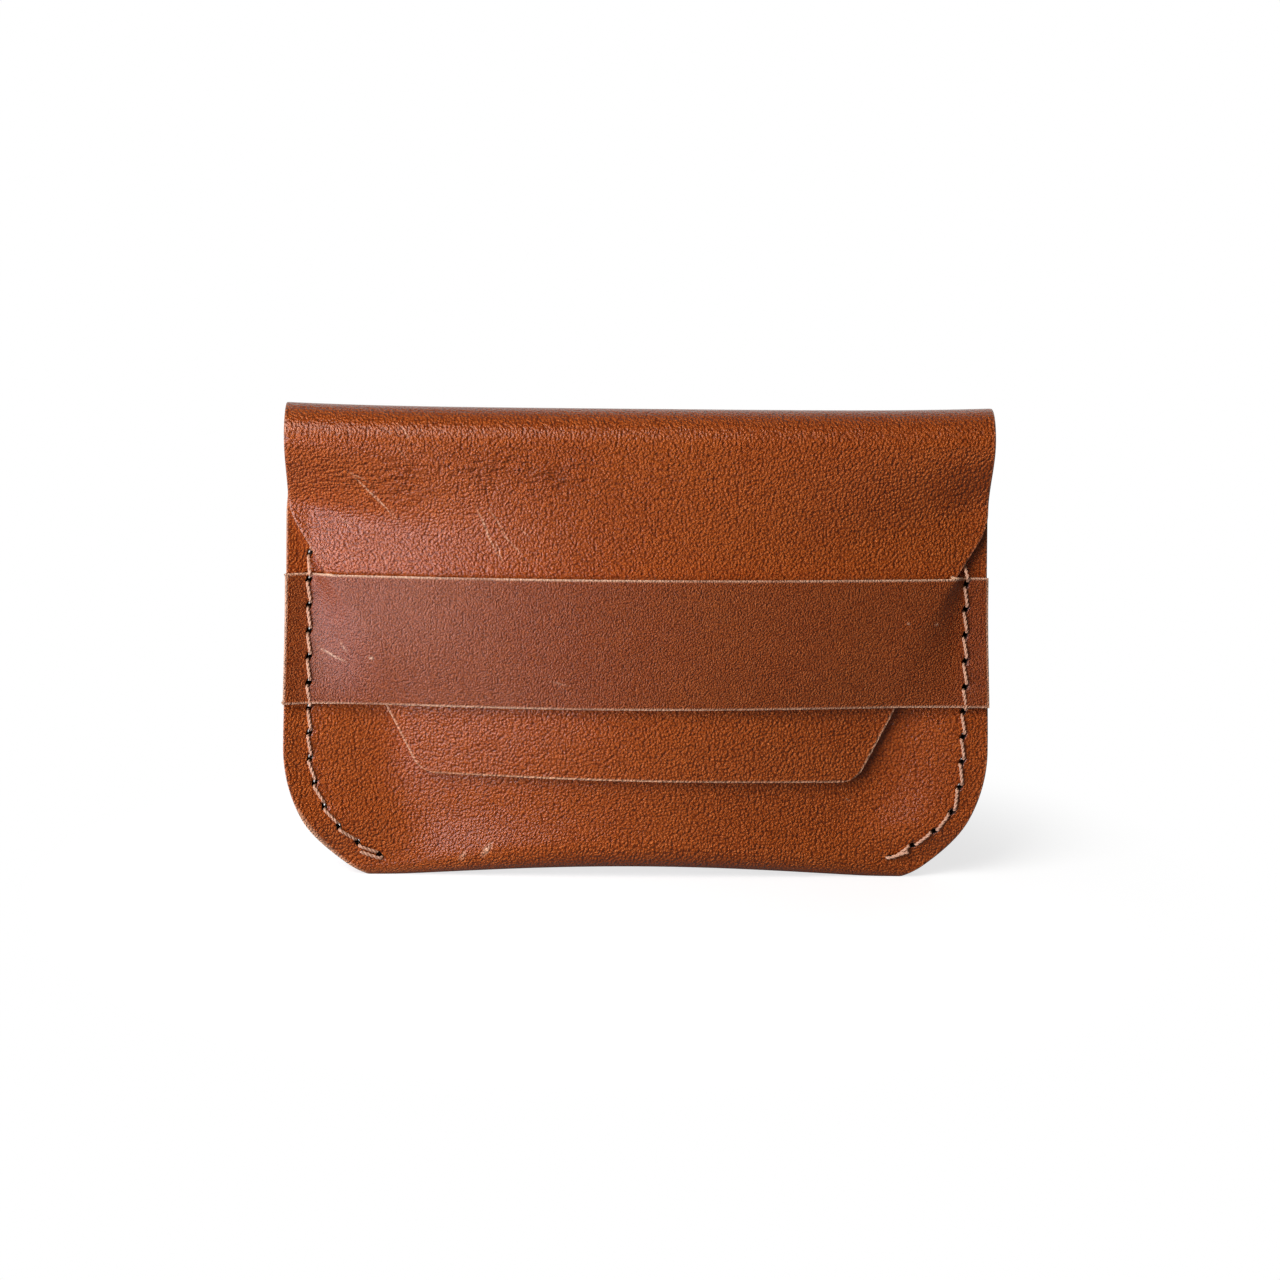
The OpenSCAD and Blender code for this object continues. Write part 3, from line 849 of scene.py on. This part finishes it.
for name, hand in (("left_seam_thread", -1), ("right_seam_thread", 1)):
    curve = bpy.data.curves.new(name + "_sewn", "CURVE")
    curve.dimensions = "3D"
    curve.bevel_depth = yarn_r * MM
    curve.bevel_resolution = 1
    curve.use_fill_caps = True
    for yarn_points in laid_yarns(thread_path(hand), thread_pitch):
        spline = curve.splines.new("POLY")
        spline.points.add(len(yarn_points) - 1)
        for spot, p in zip(spline.points, yarn_points):
            spot.co = (*stand(p.x, p.y, p.z), 1)
    drawn = bpy.data.objects.new(name + "_drawn", curve)
    bpy.context.collection.objects.link(drawn)
    ready = drawn.evaluated_get(bpy.context.evaluated_depsgraph_get())
    mesh = bpy.data.meshes.new_from_object(ready)
    bpy.data.objects.remove(drawn)
    mesh.materials.clear()
    mesh.materials.append(waxed_thread)
    for face in mesh.polygons:
        face.use_smooth = True
    thread = bpy.data.objects.new(name + "_sewn", mesh)
    bpy.context.collection.objects.link(thread)
    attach(thread, "pouch")
    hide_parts(name)

# The card holder stands on a white paper sweep that fades into a white background. A large window on
# its left lights it, with a low strip of window beside it, and the pale room behind fills its back.
floor_r = 2.5
paper_lift = 0.68
floor_mesh = bmesh.new()
bmesh.ops.create_circle(floor_mesh, cap_ends=True, segments=96, radius=floor_r)
mesh = bpy.data.meshes.new("floor")
floor_mesh.to_mesh(mesh)
floor_mesh.free()
floor = bpy.data.objects.new("floor", mesh)
bpy.context.collection.objects.link(floor)
white_sweep, tree, shader = new_material("white_paper_sweep")
shader.inputs["Roughness"].default_value = 1
shader.inputs["Specular IOR Level"].default_value = 0
shader.inputs["Emission Color"].default_value = (1, 1, 1, 1)
spot = add(tree, "ShaderNodeTexCoord").outputs["Object"]
far = add(tree, "ShaderNodeVectorMath", {0: spot}, operation="LENGTH").outputs["Value"]
fade = add(tree, "ShaderNodeMapRange", {"Value": far, "From Min": 0.05, "From Max": 0.095},
           interpolation_type="SMOOTHSTEP")
ray = add(tree, "ShaderNodeLightPath")
paper = add(tree, "ShaderNodeMix", {"Factor": ray.outputs["Is Camera Ray"], "A": linear("#8a8a8a"),
                                    "B": linear("#aeaeae")}, data_type="RGBA")
tree.links.new(paper.outputs["Result"], shader.inputs["Base Color"])
lift = add(tree, "ShaderNodeMath", {0: ray.outputs["Is Camera Ray"], 1: paper_lift}, operation="MULTIPLY")
tree.links.new(lift.outputs["Value"], shader.inputs["Emission Strength"])
seen = add(tree, "ShaderNodeMath", {0: ray.outputs["Is Camera Ray"], 1: fade.outputs["Result"]},
           operation="MULTIPLY")
glow = add(tree, "ShaderNodeEmission", {"Color": (1, 1, 1, 1), "Strength": 1})
both = add(tree, "ShaderNodeMixShader", {"Fac": seen.outputs["Value"], 1: shader.outputs["BSDF"],
                                         2: glow.outputs["Emission"]})
tree.links.new(both.outputs["Shader"], tree.nodes["Material Output"].inputs["Surface"])
mesh.materials.append(white_sweep)

world = bpy.data.worlds.new("pale_room")
bpy.context.scene.world = world
world.use_nodes = True
tree = world.node_tree
ray = add(tree, "ShaderNodeLightPath")
direct = add(tree, "ShaderNodeMath", {0: ray.outputs["Is Camera Ray"], 1: ray.outputs["Is Transmission Ray"]},
             operation="MAXIMUM")
room = tree.nodes["Background"]
room.inputs["Color"].default_value = linear("#f2f3f6")
room.inputs["Strength"].default_value = 0.12
backdrop = add(tree, "ShaderNodeBackground", {"Color": (1, 1, 1, 1), "Strength": 1})
both = add(tree, "ShaderNodeMixShader", {"Fac": direct.outputs["Value"], 1: room.outputs["Background"],
                                         2: backdrop.outputs["Background"]})
tree.links.new(both.outputs["Shader"], tree.nodes["World Output"].inputs["Surface"])


def window(name, place, aim, size, power, colour):
    lamp = bpy.data.lights.new(name, "AREA")
    lamp.shape = "RECTANGLE"
    lamp.size, lamp.size_y = size
    lamp.energy = power
    lamp.color = linear(colour)[:3]
    lit = bpy.data.objects.new(name, lamp)
    lit.location = place
    lit.rotation_euler = (Vector(aim) - Vector(place)).to_track_quat("-Z", "Y").to_euler()
    bpy.context.collection.objects.link(lit)


window("window_left", (-0.26, -0.36, 0.36), (0, 0, 0.04), (0.34, 0.34), 3.2, "#fffdfa")
window("low_window", (-0.215, -0.125, 0.033), (-0.01, 0, 0.04), (0.38, 0.064), 0.9, "#eceeff")
window("room_behind", (0.3, 0.75, 0.4), (0, 0, 0.04), (1.2, 0.9), 2.8, "#f4f3f0")

# The camera stands a little above the card holder and almost square to it.
frame_px = 1280
focal_px = 2587
distance = 0.400
azimuth = math.radians(1.57)
elevation = math.radians(11.55)
roll = math.radians(0.72)
target = Vector((0.30, 0, 37.53)) * MM
sight = Vector((math.sin(azimuth) * math.cos(elevation), math.cos(azimuth) * math.cos(elevation),
                -math.sin(elevation)))
level = Vector((math.cos(azimuth), -math.sin(azimuth), 0))
up = level.cross(sight)
right = level * math.cos(roll) + up * math.sin(roll)
above = up * math.cos(roll) - level * math.sin(roll)
lens = bpy.data.cameras.new("camera")
lens.sensor_width = 36
lens.lens = lens.sensor_width * focal_px / frame_px
camera = bpy.data.objects.new("camera", lens)
camera.matrix_world = Matrix((right, above, -sight)).transposed().to_4x4()
camera.location = target - sight * distance
bpy.context.collection.objects.link(camera)
bpy.context.scene.camera = camera
bpy.context.scene.view_settings.view_transform = "Standard"
